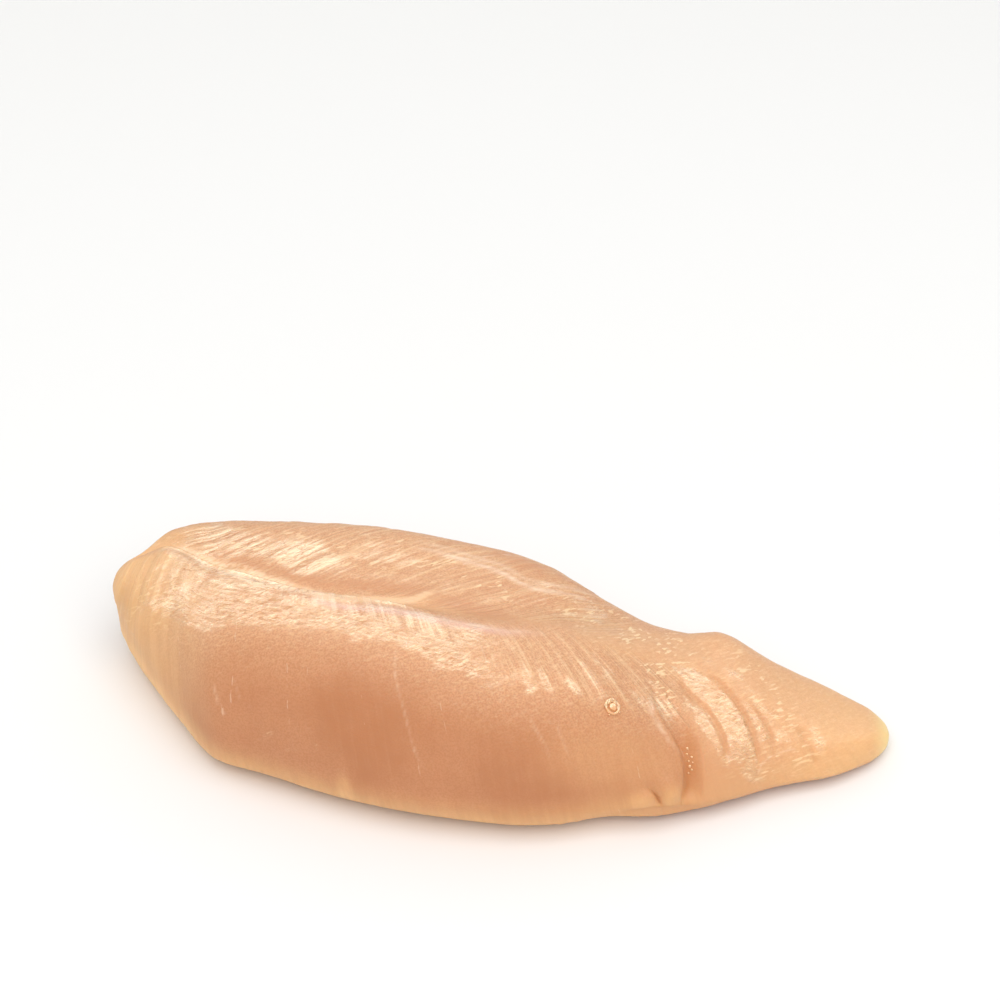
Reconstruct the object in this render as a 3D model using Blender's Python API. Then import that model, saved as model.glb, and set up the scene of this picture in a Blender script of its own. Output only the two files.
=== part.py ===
# Raw chicken breast: one skinless, boneless fillet, lying smooth side up.
# X runs along the fillet from its blunt end to its tail, Y away from the viewer, Z up. Metres.
# The fillet is a long front lobe beside a lower rear lobe. A seam with a pale sinew parts them
# at the blunt end and fades out towards the tail, which is thin, creased and split at its front.
import math

import bmesh
import bpy
from mathutils import Vector, noise

BLUNT_END, TAIL_END = -0.0915, 0.0896

# Columns of faces across the front lobe, over the sinew, across the rear lobe and underneath.
FRONT_COLUMNS = 20
SINEW_COLUMNS = 2
REAR_COLUMNS = 13
UNDER_COLUMNS = 11
RING_SPACING = 0.0021

# Each row is a section: its place along X; the Y of its front edge, of the seam and of its rear
# edge; the heights of the front lobe, of the rear lobe and of the fillet's widest level.
SECTIONS = (
    (-0.0915, 0.0225, 0.0330, 0.0370, 0.0280, 0.0265, 0.0180),
    (-0.0840, 0.0125, 0.0335, 0.0385, 0.0295, 0.0265, 0.0165),
    (-0.0760, 0.0005, 0.0315, 0.0450, 0.0335, 0.0305, 0.0130),
    (-0.0660, -0.0150, 0.0195, 0.0480, 0.0370, 0.0335, 0.0115),
    (-0.0560, -0.0200, 0.0140, 0.0480, 0.0390, 0.0345, 0.0110),
    (-0.0300, -0.0305, 0.0050, 0.0455, 0.0405, 0.0360, 0.0095),
    (0.0000, -0.0370, -0.0045, 0.0390, 0.0385, 0.0350, 0.0090),
    (0.0120, -0.0365, -0.0040, 0.0345, 0.0355, 0.0320, 0.0080),
    (0.0230, -0.0335, -0.0040, 0.0285, 0.0305, 0.0260, 0.0075),
    (0.0340, -0.0330, -0.0020, 0.0240, 0.0240, 0.0200, 0.0065),
    (0.0440, -0.0300, -0.0005, 0.0215, 0.0190, 0.0180, 0.0055),
    (0.0520, -0.0265, -0.0020, 0.0210, 0.0170, 0.0200, 0.0050),
    (0.0620, -0.0220, -0.0070, 0.0165, 0.0145, 0.0160, 0.0045),
    (0.0760, -0.0175, -0.0115, 0.0100, 0.0110, 0.0105, 0.0040),
    (0.0896, -0.0080, -0.0050, 0.0005, 0.0065, 0.0060, 0.0030),
)
BLUNT_END_RADIUS = 0.011
BLUNT_END_FULLNESS = 2.1
TAIL_END_RADIUS = 0.0065

# The front lobe stays full almost to its edge, less so at the blunt end. The rear lobe is broader
# on top and slopes away.
FRONT_FULLNESS = 3.1
BLUNT_FULLNESS = 2.3
REAR_FULLNESS = 2.4
FRONT_CREST = 0.22
REAR_CREST = ((-0.090, 0.45), (0.044, 0.45), (0.060, 0.22), (0.075, 0.10), (0.090, 0.10))
FRONT_LOBE_DROP = 0.0018
REAR_LOBE_DROP = 0.0014
LOBE_FALL = 1.3
VALLEY_END, VALLEY_FADE = 0.008, 0.025
# The seam runs in front of the line midway between the crests, by this much at each X.
SEAM_FORWARD = ((-0.088, 0.0), (-0.076, 0.0024), (-0.066, 0.0012), (-0.056, 0.0027), (-0.043, 0.0046),
                (-0.030, 0.0035), (-0.010, 0.0014), (0.008, 0.0))
SEAM_BLEND = ((-0.090, 0.0008), (-0.030, 0.0010), (-0.012, 0.0040), (0.008, 0.0100), (0.044, 0.0080),
              (0.070, 0.0030), (0.090, 0.0020))

SINEW_START, SINEW_END = -0.078, -0.016
SINEW_HEIGHT = 0.0011
SINEW_HALF_WIDTH = 0.0009

# The underside lies flat, with a shallow hollow where the small inner fillet was lifted off.
UNDER_RADIUS = 0.0095
HOLLOW_DEPTH = 0.0012
HOLLOW_WIDTH = 0.45
HOLLOW_START, HOLLOW_END = -0.055, 0.030

# The tail's sections lean along its creases. Each crease is drawn on a plane that leans back from
# the front of the fillet, as it is seen from a point at right angles to the plane's middle. It is
# given as pairs of a distance up that plane and an X, and then come the lower and upper end of its
# open length, its half-width and its depth.
FOLD_PLANE_TILT = math.radians(42)
SEEN_FROM = 0.641
CREASES = (
    # a plain section, where the leaning starts
    (((-0.0200, 0.0100), (0.0300, 0.0100)), None),
    # small nick in the flap
    (((-0.0175, 0.0375), (-0.0145, 0.0355), (-0.0125, 0.0335), (-0.0040, 0.0300), (0.0120, 0.0225)),
     (-0.0185, -0.0118, 0.0008, 0.0016)),
    # flap's edge, with the split beside it
    (((-0.0180, 0.0410), (-0.0100, 0.0425), (-0.0025, 0.0410), (0.0050, 0.0365), (0.0160, 0.0330)), None),
    # four creases that curve over the tail, and a wider one at the thin end
    (((-0.0120, 0.0475), (-0.0020, 0.0465), (0.0035, 0.0425), (0.0095, 0.0380), (0.0160, 0.0350)),
     (0.0010, 0.0104, 0.0008, 0.0006)),
    (((-0.0120, 0.0525), (-0.0020, 0.0515), (0.0050, 0.0480), (0.0110, 0.0420), (0.0160, 0.0385)),
     (-0.0066, 0.0132, 0.0009, 0.0009)),
    (((-0.0120, 0.0600), (-0.0010, 0.0585), (0.0055, 0.0555), (0.0120, 0.0500), (0.0180, 0.0425)),
     (-0.0072, 0.0150, 0.0009, 0.0010)),
    (((-0.0120, 0.0640), (-0.0010, 0.0625), (0.0045, 0.0595), (0.0120, 0.0535), (0.0160, 0.0495)),
     (-0.0060, 0.0070, 0.0008, 0.0006)),
    (((-0.0120, 0.0725), (-0.0055, 0.0720), (0.0000, 0.0695), (0.0080, 0.0635), (0.0160, 0.0580)),
     (-0.0085, 0.0025, 0.0013, 0.0010)),
    # a plain section, where the leaning ends
    (((-0.0200, 0.0800), (0.0300, 0.0800)), None),
)
FLAP_EDGE = 2
SPLIT_PROFILE = ((-0.0007, 0.0006), (0.0000, 0.0003), (0.0005, -0.0031), (0.0018, -0.0030),
                 (0.0033, -0.0020), (0.0048, -0.0009))
SPLIT_LOW, SPLIT_HIGH = -0.0165, 0.0115

WAVE_DIRECTION = Vector((0.87, 0.0, -0.49))
WAVE_LENGTH = 0.0065
WAVE_HEIGHT = 0.00025
WAVE_END, WAVE_FADE = -0.080, 0.012

UNEVEN_SCALE = 0.022
UNEVEN_HEIGHT = 0.0006

FLESH_COLOUR = (0.72, 0.38, 0.22, 1.0)
FLESH_ROUGHNESS = 0.35


def smooth_curve(points, x, column=1):
    """The value at x of a smooth curve through the points, which run in order of their first number."""
    if x <= points[0][0]:
        return points[0][column]
    if x >= points[-1][0]:
        return points[-1][column]
    i = next(n for n in range(len(points) - 1) if x <= points[n + 1][0])
    before, start = points[max(i - 1, 0)], points[i]
    end, after = points[i + 1], points[min(i + 2, len(points) - 1)]
    span = end[0] - start[0]
    slope0 = (end[column] - before[column]) / (end[0] - before[0]) * span
    slope1 = (after[column] - start[column]) / (after[0] - start[0]) * span
    t = (x - start[0]) / span
    return (
        (2 * t**3 - 3 * t**2 + 1) * start[column] + (t**3 - 2 * t**2 + t) * slope0
        + (3 * t**2 - 2 * t**3) * end[column] + (t**3 - t**2) * slope1
    )


def ease(x, start, end):
    """0 up to start, 1 from end, and smooth between them."""
    t = min(max((x - start) / (end - start), 0.0), 1.0)
    return t * t * (3 - 2 * t)


def smooth_max(a, b, blend):
    h = max(blend - abs(a - b), 0.0) / blend
    return max(a, b) + h * h * blend / 4


def end_rounding(x):
    """The share of its full section that the fillet has at x: 1 along the body, 0 at both tips."""
    if x < 0:
        t = min(max(1 - (x - BLUNT_END) / BLUNT_END_RADIUS, 0.0), 1.0)
        return (1 - t**BLUNT_END_FULLNESS) ** (1 / BLUNT_END_FULLNESS)
    t = min(max(1 - (TAIL_END - x) / TAIL_END_RADIUS, 0.0), 1.0)
    return math.sqrt(1 - t * t)


def walk(line, count):
    """Count + 1 points spread evenly along a line of points."""
    lengths = [0.0]
    for (y0, z0), (y1, z1) in zip(line, line[1:]):
        lengths.append(lengths[-1] + math.hypot(y1 - y0, z1 - z0))
    spread, n = [], 0
    for k in range(count + 1):
        goal = lengths[-1] * k / count
        while n < len(line) - 2 and lengths[n + 1] < goal:
            n += 1
        t = min(max((goal - lengths[n]) / (lengths[n + 1] - lengths[n]), 0.0), 1.0)
        (y0, z0), (y1, z1) = line[n], line[n + 1]
        spread.append((y0 + (y1 - y0) * t, z0 + (z1 - z0) * t))
    return spread


def section(x):
    """The section at x, point by point round from its front edge over the top and underneath."""
    front, seam, rear, front_top, rear_top, waist = (smooth_curve(SECTIONS, x, c) for c in range(1, 7))
    front_crest = seam - FRONT_CREST * (seam - front)
    rear_crest = seam + smooth_curve(REAR_CREST, x) * (rear - seam)
    seam -= smooth_curve(SEAM_FORWARD, x)
    blend = smooth_curve(SEAM_BLEND, x)
    valley = 1 - ease(x, VALLEY_END, VALLEY_END + VALLEY_FADE)
    fullness = BLUNT_FULLNESS + (FRONT_FULLNESS - BLUNT_FULLNESS) * ease(x, -0.075, -0.035)

    def height(y):
        u = max(front_crest - y, 0.0) / (front_crest - front)
        one = waist + (front_top - waist) * math.sqrt(max(1 - u**fullness, 0.0))
        past = max(y - front_crest, 0.0) / (seam - front_crest)
        one -= valley * FRONT_LOBE_DROP * past**2.2
        one -= LOBE_FALL * (front_top - waist) * (max(y - seam, 0.0) / (rear - seam)) ** 2
        u = max(y - rear_crest, 0.0) / (rear - rear_crest)
        two = waist + (rear_top - waist) * math.sqrt(max(1 - u**REAR_FULLNESS, 0.0))
        past = max(rear_crest - y, 0.0) / (rear_crest - seam)
        two -= valley * REAR_LOBE_DROP * past**2.2
        two -= LOBE_FALL * (rear_top - waist) * (max(seam - y, 0.0) / (seam - front)) ** 2
        return smooth_max(one, two, min(blend, 2 * min(y - front, rear - y) + 0.0001))

    foot = min(SINEW_HALF_WIDTH, (rear - seam) / 4)
    turns = [math.pi / 2 * n / 24 for n in range(24)]
    over_front = [front_crest - (front_crest - front) * math.cos(a) ** (2 / fullness) for a in turns]
    over_front += [front_crest + (seam - foot - front_crest) * n / 8 for n in range(9)]
    over_rear = [rear_crest + (seam + foot - rear_crest) * n / 12 for n in range(12, 0, -1)]
    over_rear += [
        rear_crest + (rear - rear_crest) * math.cos(a) ** (2 / REAR_FULLNESS) for a in reversed(turns)
    ]
    sinew = SINEW_HEIGHT * ease(x, SINEW_START - 0.004, SINEW_START)
    sinew *= 1 - ease(x, SINEW_END - 0.006, SINEW_END)
    points = walk([(y, height(y)) for y in over_front], FRONT_COLUMNS)
    points += [(seam, height(seam) + sinew)]
    points += walk([(y, height(y)) for y in over_rear], REAR_COLUMNS)

    radius = min(UNDER_RADIUS, (rear - front) / 3)
    turns = [math.pi / 2 * n / 10 for n in range(11)]
    under = [(rear - radius * (1 - math.cos(a)), waist * (1 - math.sin(a))) for a in turns]
    under += [(front + radius * (1 - math.cos(a)), waist * (1 - math.sin(a))) for a in reversed(turns)]
    hollow = HOLLOW_DEPTH * ease(x, HOLLOW_START - 0.015, HOLLOW_START)
    hollow *= 1 - ease(x, HOLLOW_END, HOLLOW_END + 0.020)
    for y, z in walk(under, UNDER_COLUMNS)[1:-1]:
        across = (y - (front + rear) / 2) / ((rear - front) * HOLLOW_WIDTH / 2)
        points.append((y, z + hollow * max(1 - across * across, 0.0) ** 2 * (1 if z < 0.0001 else 0)))

    scale, middle = end_rounding(x), (front + rear) / 2
    return [(middle + (y - middle) * scale, waist + (z - waist) * scale) for y, z in points]


def leaning_x(place, up, nearer):
    """X of the ring at a place (crease number and share of the way to the next) at a height up.

    Skin that stands out of the plane is seen farther from the middle, so the creases move in.
    """
    n, t = place
    x, following = (
        smooth_curve(CREASES[k][0], up) / (1 if k in (0, len(CREASES) - 1) else nearer) for k in (n, n + 1)
    )
    return x * (1 - t) + following * t


def rings():
    """The rings of the mesh. Each is an X, or a place among the creases, where the rings lean."""
    start, end = BLUNT_END, CREASES[0][0][0][1]
    turns = 8
    made = [start + BLUNT_END_RADIUS * (1 - math.cos(math.pi / 2 * n / turns)) for n in range(1, turns)]
    count = round((end - start - BLUNT_END_RADIUS) / RING_SPACING)
    made += [start + BLUNT_END_RADIUS + (end - start - BLUNT_END_RADIUS) * n / count for n in range(count)]
    for n in range(len(CREASES) - 1):
        low, high = CREASES[n][0][0][1], CREASES[n + 1][0][0][1]
        gap = high - low
        marks = [0.0]
        if CREASES[n][1]:
            marks.append(CREASES[n][1][2])
        if n == FLAP_EDGE:
            marks += [at for at, _ in SPLIT_PROFILE if at > 0]
        last = gap
        if n + 1 == FLAP_EDGE:
            last = gap + SPLIT_PROFILE[0][0]
        elif CREASES[n + 1][1]:
            last = gap - CREASES[n + 1][1][2]
        room = last - marks[-1]
        between = max(round(room / RING_SPACING), 1)
        marks += [marks[-1] + room * k / between for k in range(1, between + (last < gap))]
        made += [(n, mark / gap) for mark in marks]
    start, end = CREASES[-1][0][0][1], TAIL_END - TAIL_END_RADIUS
    count = round((end - start) / RING_SPACING)
    made += [start + (end - start) * n / count for n in range(count)]
    turns = 7
    made += [TAIL_END - TAIL_END_RADIUS * math.cos(math.pi / 2 * n / turns) for n in range(turns)]
    return made


def crease_relief(place, up):
    """How far the skin stands out at a place among the creases."""
    n, t = place
    gap = CREASES[n + 1][0][0][1] - CREASES[n][0][0][1]
    move = 0.0
    for nearest, off in ((n, t * gap), (n + 1, (1 - t) * gap)):
        if CREASES[nearest][1]:
            low, high, half_width, depth = CREASES[nearest][1]
            open_here = ease(up, low, low + 0.002) * (1 - ease(up, high - 0.002, high))
            move -= depth * open_here * max(1 - off / half_width, 0.0)
    off = {FLAP_EDGE - 1: (t - 1) * gap, FLAP_EDGE: t * gap}.get(n)
    if off is not None and SPLIT_PROFILE[0][0] - 1e-6 <= off <= SPLIT_PROFILE[-1][0]:
        fade = ease(up, SPLIT_LOW, SPLIT_LOW + 0.002) * (1 - ease(up, SPLIT_HIGH - 0.003, SPLIT_HIGH))
        fade *= 1 - 0.85 * ease(up, -0.003, 0.004)
        move += smooth_curve(SPLIT_PROFILE, off) * fade
    return move


def shape_fillet():
    """A ball with its poles on X, each of its rings moved to a section of the fillet."""
    places = rings()
    around = FRONT_COLUMNS + SINEW_COLUMNS + REAR_COLUMNS + UNDER_COLUMNS
    up_plane = Vector((0.0, math.sin(FOLD_PLANE_TILT), math.cos(FOLD_PLANE_TILT)))
    out_of_plane = Vector((0.0, -math.cos(FOLD_PLANE_TILT), math.sin(FOLD_PLANE_TILT)))
    bm = bmesh.new()
    bmesh.ops.create_uvsphere(bm, u_segments=around, v_segments=len(places) + 1, radius=1.0)
    on_crease = {}
    whole = {}
    for v in bm.verts:
        ring = round(math.acos(max(-1.0, min(1.0, v.co.z))) / math.pi * (len(places) + 1))
        if ring == 0 or ring == len(places) + 1:
            x = BLUNT_END if ring == 0 else TAIL_END
            front, _, rear, _, _, waist = (smooth_curve(SECTIONS, x, c) for c in range(1, 7))
            v.co = (x, (front + rear) / 2, waist)
            continue
        step = round((math.atan2(v.co.y, v.co.x) / math.tau - 0.25) * around) % around
        place = places[ring - 1]
        if isinstance(place, float):
            if place not in whole:
                whole[place] = section(place)
            v.co = (place, *whole[place][step])
            continue
        up, nearer = 0.0, 1.0
        for _ in range(3):
            x = leaning_x(place, up, nearer)
            v.co = (x, *section(x)[step])
            nearer = SEEN_FROM / (SEEN_FROM - v.co.dot(out_of_plane))
            up = v.co.dot(up_plane) * nearer
        on_crease[v] = (place, up)

    bm.normal_update()
    moves = []
    for v in bm.verts:
        free = ease(v.co.z, 0.0005, 0.008)
        move = UNEVEN_HEIGHT * noise.noise(v.co / UNEVEN_SCALE) * free
        waves = 1 - ease(v.co.x, WAVE_END, WAVE_END + WAVE_FADE)
        move += WAVE_HEIGHT * waves * free * math.sin(v.co.dot(WAVE_DIRECTION) / WAVE_LENGTH * math.tau)
        if v in on_crease:
            move += crease_relief(*on_crease[v]) * ease(v.normal.dot(out_of_plane), 0.0, 0.35)
        moves.append(v.normal * move)
    for v, move in zip(bm.verts, moves):
        v.co += move

    low = [min(v.co[i] for v in bm.verts) for i in range(3)]
    high = [max(v.co[i] for v in bm.verts) for i in range(3)]
    shift = Vector(((low[0] + high[0]) / 2, (low[1] + high[1]) / 2, low[2]))
    for v in bm.verts:
        v.co -= shift
    mesh = bpy.data.meshes.new("chicken_breast")
    bm.to_mesh(mesh)
    bm.free()
    mesh.shade_smooth()
    return mesh


def flesh():
    material = bpy.data.materials.new("raw_chicken")
    material.use_nodes = True
    shader = material.node_tree.nodes["Principled BSDF"]
    shader.inputs["Base Color"].default_value = FLESH_COLOUR
    shader.inputs["Roughness"].default_value = FLESH_ROUGHNESS
    shader.inputs["Metallic"].default_value = 0.0
    return material


def main():
    for obj in list(bpy.data.objects):
        bpy.data.objects.remove(obj)
    group = bpy.data.collections.new("raw_chicken_breast")
    bpy.context.scene.collection.children.link(group)
    fillet = bpy.data.objects.new("chicken_breast", shape_fillet())
    fillet.data.materials.append(flesh())
    group.objects.link(fillet)


main()
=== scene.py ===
import math

import bmesh
import bpy
import numpy as np
from mathutils import Matrix, Vector, noise
from mathutils.bvhtree import BVHTree


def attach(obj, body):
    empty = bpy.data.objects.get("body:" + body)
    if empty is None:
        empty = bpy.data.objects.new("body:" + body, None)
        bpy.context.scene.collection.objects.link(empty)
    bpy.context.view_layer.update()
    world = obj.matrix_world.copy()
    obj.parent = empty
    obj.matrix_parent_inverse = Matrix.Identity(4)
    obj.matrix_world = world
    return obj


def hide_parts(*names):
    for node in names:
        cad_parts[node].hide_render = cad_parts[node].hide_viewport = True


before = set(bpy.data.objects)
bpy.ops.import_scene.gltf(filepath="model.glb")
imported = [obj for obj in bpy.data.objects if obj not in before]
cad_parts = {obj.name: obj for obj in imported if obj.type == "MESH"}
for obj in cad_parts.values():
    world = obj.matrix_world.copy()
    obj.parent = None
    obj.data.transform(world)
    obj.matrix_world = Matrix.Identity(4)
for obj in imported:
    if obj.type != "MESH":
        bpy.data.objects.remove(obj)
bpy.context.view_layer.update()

# Flesh: one muscle in two lobes, cut off the breastbone and skinned. Its mesh is a copy of the
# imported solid, with the triangles joined back to a grid and rounded by subdivision, and fine
# enough for the fibres, wrinkles and cracks of the moist skin side to be real relief.
MM = 0.001
MERGE_WITHIN = 0.02 * MM
PAIRED_FACE_ANGLE, PAIRED_SHAPE_ANGLE = 0.9, 1.2
POLE_EDGES, POLE_SMOOTHING = 12, 0.55
SUBDIVISIONS = 2

bm = bmesh.new()
bm.from_mesh(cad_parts["chicken_breast"].data)
bmesh.ops.remove_doubles(bm, verts=bm.verts, dist=MERGE_WITHIN)
bmesh.ops.join_triangles(bm, faces=bm.faces, angle_face_threshold=PAIRED_FACE_ANGLE,
                         angle_shape_threshold=PAIRED_SHAPE_ANGLE)
poles = [v for v in bm.verts if len(v.link_edges) > POLE_EDGES]
bmesh.ops.smooth_vert(bm, verts=poles, factor=POLE_SMOOTHING, use_axis_x=True, use_axis_y=True,
                      use_axis_z=True)
mesh = bpy.data.meshes.new("flesh")
bm.to_mesh(mesh)
bm.free()
flesh = bpy.data.objects.new("flesh", mesh)
bpy.context.scene.collection.objects.link(flesh)
rounding = flesh.modifiers.new("Rounding", "SUBSURF")
rounding.levels = rounding.render_levels = SUBDIVISIONS
bpy.context.view_layer.update()
flesh.data = bpy.data.meshes.new_from_object(flesh.evaluated_get(bpy.context.evaluated_depsgraph_get()))
flesh.modifiers.clear()

places = np.array([v.co for v in flesh.data.vertices])
normals = np.array([v.normal for v in flesh.data.vertices])
x_at, z_at = places[:, 0], places[:, 2]
skin = BVHTree.FromPolygons([v.co for v in flesh.data.vertices], [p.vertices for p in flesh.data.polygons])

# The way round the fillet is measured over its skin, from the seam: down over the front lobe it
# counts up, and back over the rear lobe it counts down. It is measured at stations along X, where
# the seam is given by points (X, Y) in millimetres.
STATION_SPACING, LAST_STATION, SLICE_HALF = 2.0 * MM, 89.5 * MM, 1.2 * MM
TURNS = 120
SEAM = ((-90, 27), (-83, 27.7), (-75, 25.7), (-65, 13.7), (-55, 8.2), (-29, -0.8), (1, -10.3), (13, -9.8),
        (24, -9.8), (35, -7.8), (45, -6.3), (53, -7.8), (63, -12.8), (77, -17.3), (90, -11))


def ramp(value, start, end):
    """0 before start, 1 past end, and smooth between them; end may lie before start."""
    t = np.clip((value - start) / (end - start), 0.0, 1.0)
    return t * t * (3 - 2 * t)


def ramp_mm(value, start, end):
    """A ramp over a value in metres, with start and end in millimetres."""
    return ramp(value, start * MM, end * MM)


def along_fillet(x, knots):
    """The value at x on the broken line through knots of (X in millimetres, value)."""
    knot_x, values = np.array(knots, dtype=float).T
    return np.interp(x, knot_x * MM, values)


stations = np.arange(-LAST_STATION, LAST_STATION, STATION_SPACING)
turns = np.linspace(-math.pi, math.pi, TURNS + 1)
middles = np.empty((len(stations), 2))
round_skin = np.zeros((len(stations), TURNS + 1))
for i, x in enumerate(stations):
    near = places[np.abs(x_at - x) < SLICE_HALF]
    middles[i] = (near[:, 1:].min(0) + near[:, 1:].max(0)) / 2
for column in range(2):
    middles[1:-1, column] = (middles[:-2, column] + 2 * middles[1:-1, column] + middles[2:, column]) / 4
for i, x in enumerate(stations):
    reached = []
    for turn in turns:
        aim = Vector((0.0, -math.sin(turn), math.cos(turn)))
        hit = skin.ray_cast(Vector((x, *middles[i])), aim)[0]
        reached.append(hit[1:] if hit else reached[-1])
    reached = np.array(reached)
    steps = np.hypot(*np.diff(reached, axis=0).T)
    way = np.concatenate(([0.0], np.cumsum(steps)))
    top = np.abs(turns) < math.pi / 2
    seam_y = along_fillet(x, SEAM) * MM
    round_skin[i] = way - np.interp(-seam_y, -reached[top, 0], way[top])
round_skin[1:-1] = (round_skin[:-2] + 2 * round_skin[1:-1] + round_skin[2:]) / 4

at = np.clip((x_at - stations[0]) / STATION_SPACING, 0, len(stations) - 1.001)
middle_y = np.interp(at, range(len(stations)), middles[:, 0])
middle_z = np.interp(at, range(len(stations)), middles[:, 1])
turn = (np.arctan2(middle_y - places[:, 1], z_at - middle_z) + math.pi) / math.tau * TURNS
row, column = at.astype(int), np.clip(turn.astype(int), 0, TURNS - 1)
part_row, part_column = at - row, turn - column
down = (
    round_skin[row, column] * (1 - part_row) * (1 - part_column)
    + round_skin[row + 1, column] * part_row * (1 - part_column)
    + round_skin[row, column + 1] * (1 - part_row) * part_column
    + round_skin[row + 1, column + 1] * part_row * part_column
)

# Fibres: they start at the seam and fan out, steeply down the front lobe and slantwise over the
# rear one. Each vertex gets the X where its fibre starts and how far down that fibre it lies. The
# slants are points (X in millimetres, run along X for each unit down).
FRONT_SLANT = ((-90, -1.10), (-65, -0.50), (-40, 0.05), (-20, 0.25), (0, 0.60), (20, 1.05), (40, 1.25),
               (65, 1.10), (90, 0.90))
REAR_SLANT = ((-90, 0.8), (-40, 1.0), (0, 1.5), (40, 1.0), (90, 0.5))
FIBRE_BEND, FIBRE_DRIFT = 22 * MM, 0.12
BLUNT_END_FROM, FINER_AT_BLUNT_END = -74 * MM, 2.4
ROUNDS_TO_SETTLE = 12
NOISE_GAIN = 1.6

bend = FIBRE_BEND * (1 - np.exp(-np.maximum(down, 0) / FIBRE_BEND))
fibre = x_at.copy()
for _ in range(ROUNDS_TO_SETTLE):
    front_run = along_fillet(fibre, FRONT_SLANT) * bend + FIBRE_DRIFT * down
    rear_run = -along_fillet(fibre, REAR_SLANT) * down
    fibre = x_at - np.where(down > 0, front_run, rear_run)
fibre -= (FINER_AT_BLUNT_END - 1) * np.maximum(BLUNT_END_FROM - fibre, 0.0)


def grain(across, along, seed=0.0):
    """Smooth noise from -1 to 1 at each vertex, with that many grains a metre across and along the fibres."""
    return NOISE_GAIN * np.array([
        noise.noise(Vector((a * across, b * along, seed))) for a, b in zip(fibre, down)
    ])


def lumps(scale, seed):
    """Smooth noise from -1 to 1 at each vertex, with that many lumps a metre each way."""
    return NOISE_GAIN * np.array([
        noise.noise(Vector(p) * scale + Vector((seed, 0.0, 0.0))) for p in places
    ])


def zone(x_start, x_end, down_start, down_end, fade_x=8.0, fade_down=3.0):
    """1 inside a stretch of the skin and 0 outside it, with soft edges, all in millimetres."""
    inside = np.ones(len(places))
    for value, start, end, fade in (
        (x_at, x_start, x_end, fade_x / 2), (down, down_start, down_end, fade_down / 2),
    ):
        inside *= ramp_mm(value, start - fade, start + fade) * ramp_mm(value, end + fade, end - fade)
    return inside


# The relief is in millimetres: faint fibres and lumps everywhere, and stronger fibres in the fan
# before the tail, under the sinew's round end, over the blunt end and on the rear lobe.
relief = 0.03 * grain(520, 45) + 0.02 * lumps(900, 3.0) + 0.08 * lumps(160, 7.0)
relief += 0.05 * lumps(330, 9.0) * ramp_mm(down, 30, 20)
for depth, across, along, seed, share in (
    (0.20, 300, 60, 1.0, zone(2, 46, 3, 20, 14, 6)),
    (0.10, 460, 35, 2.0, zone(-46, -10, 1, 13)),
    (0.12, 300, 30, 4.0, ramp_mm(x_at, -60, -74) * ramp_mm(down, 3, 9)),
    (0.07, 480, 50, 5.0, zone(-80, 30, -34, -3)),
):
    relief += depth * grain(across, along, seed) * share
relief *= ramp_mm(z_at, 0.5, 5)

# Seam, creases and marks are drawn in millimetres on a plane that leans back from the front of the
# fillet, as they are seen from a point in front of it: each point is its X and its distance up the
# plane.
PLANE_LEAN = math.radians(42.0)
SEEN_FROM = 0.641
MIDDLE = np.array((0.95, -5.78, 0.0)) * MM
SAMPLE_SPACING = 0.25

up_plane = np.array((0.0, math.sin(PLANE_LEAN), math.cos(PLANE_LEAN)))
out_of_plane = np.array((0.0, -math.cos(PLANE_LEAN), math.sin(PLANE_LEAN)))
on_plane = np.column_stack((x_at, places @ up_plane))
middle_on_plane = np.array((MIDDLE[0], MIDDLE @ up_plane))
nearer = SEEN_FROM / (SEEN_FROM - (places - MIDDLE) @ out_of_plane)
seen = (middle_on_plane + (on_plane - middle_on_plane) * nearer[:, None]) / MM
facing = ramp(normals @ out_of_plane, 0.05, 0.35)


def line_samples(points):
    """Points spread along a smooth curve through the given ones, the curve's direction at each, and
    each one's share of the length."""
    knots = np.array(points)
    ends = np.concatenate(([2 * knots[0] - knots[1]], knots, [2 * knots[-1] - knots[-2]]))
    curve = []
    for a, b, c, d in zip(ends, ends[1:], ends[2:], ends[3:]):
        for t in np.linspace(0, 1, max(int(np.hypot(*(c - b)) / SAMPLE_SPACING), 2), endpoint=False):
            curve.append(0.5 * (2 * b + (c - a) * t + (2 * a - 5 * b + 4 * c - d) * t**2
                                + (3 * b - a - 3 * c + d) * t**3))
    curve = np.array(curve + [knots[-1]])
    way = np.concatenate(([0.0], np.cumsum(np.hypot(*np.diff(curve, axis=0).T))))
    heading = np.gradient(curve, axis=0)
    return curve, heading / np.hypot(*heading.T)[:, None], way / way[-1]


def beside(points, reach=6.0):
    """The vertices near a drawn line: their numbers, how far to its right they lie as one follows it,
    and their share along it."""
    curve, heading, share = line_samples(points)
    low, high = curve.min(0) - reach, curve.max(0) + reach
    near = np.flatnonzero(((seen > low) & (seen < high)).all(1) & (facing > 0))
    off = seen[near][:, None, :] - curve[None, :, :]
    closest = (off**2).sum(2).argmin(1)
    off = off[np.arange(len(near)), closest]
    side = off[:, 0] * heading[closest, 1] - off[:, 1] * heading[closest, 0]
    reached = np.hypot(*off.T)
    return near, np.where(side < 0, -reached, reached), share[closest]


def bell(off, half_width):
    return np.exp(-(off / half_width) ** 2)


def fade_ends(share, start, end):
    return ramp(share, 0.0, start) * ramp(share, 1.0, 1.0 - end)


def mark(points, half_width, start_fade, end_fade, shift=0.0):
    """1 along a drawn line, or beside it where it is shifted to its right, with soft sides and ends."""
    near, side, share = beside(points)
    drawn = np.zeros(len(places))
    drawn[near] = bell(side - shift, half_width) * fade_ends(share, start_fade, end_fade) * facing[near]
    return drawn


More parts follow.
